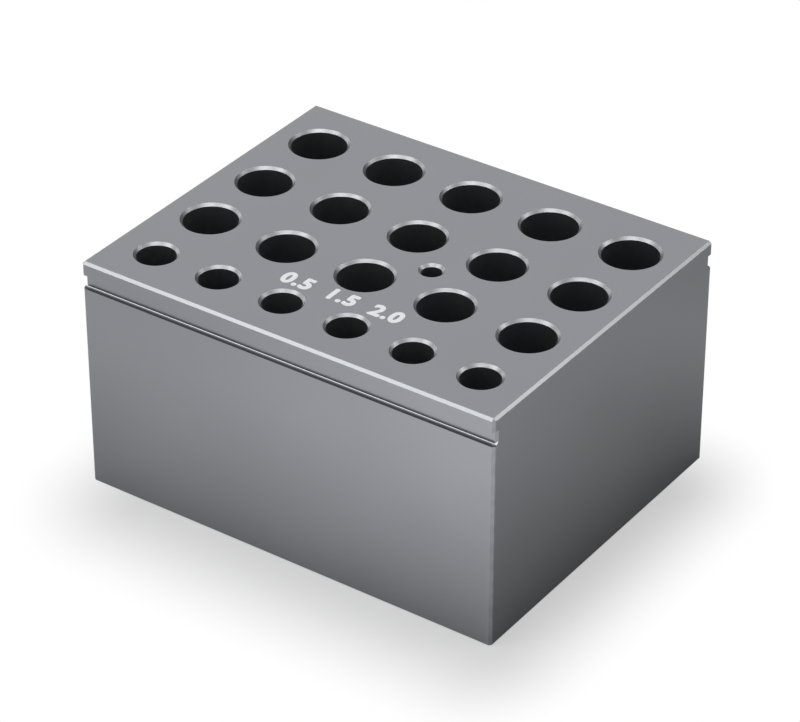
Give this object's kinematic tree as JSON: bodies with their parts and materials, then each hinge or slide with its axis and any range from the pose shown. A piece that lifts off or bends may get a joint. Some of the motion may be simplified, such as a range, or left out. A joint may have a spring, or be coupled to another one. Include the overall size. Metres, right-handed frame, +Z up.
{
  "type": "heating block",
  "caption": "Rectangular anodised aluminium block for a dry block heater, with rows of round wells for microtubes, a probe well and a grip groove along each long side.",
  "frame": {"origin": "middle of the underside", "axes": "+X along the long sides, +Y from the front face (the row of smallest wells) to the back face, +Z up out of the wells"},
  "size_m": [0.095, 0.076, 0.0508],
  "materials": {
    "anodised_aluminium": "satin grey anodised, fine-blasted, with bright chamfers"
  },
  "bodies": {
    "root": {"heating_block": "anodised_aluminium"}
  },
  "joints": []
}
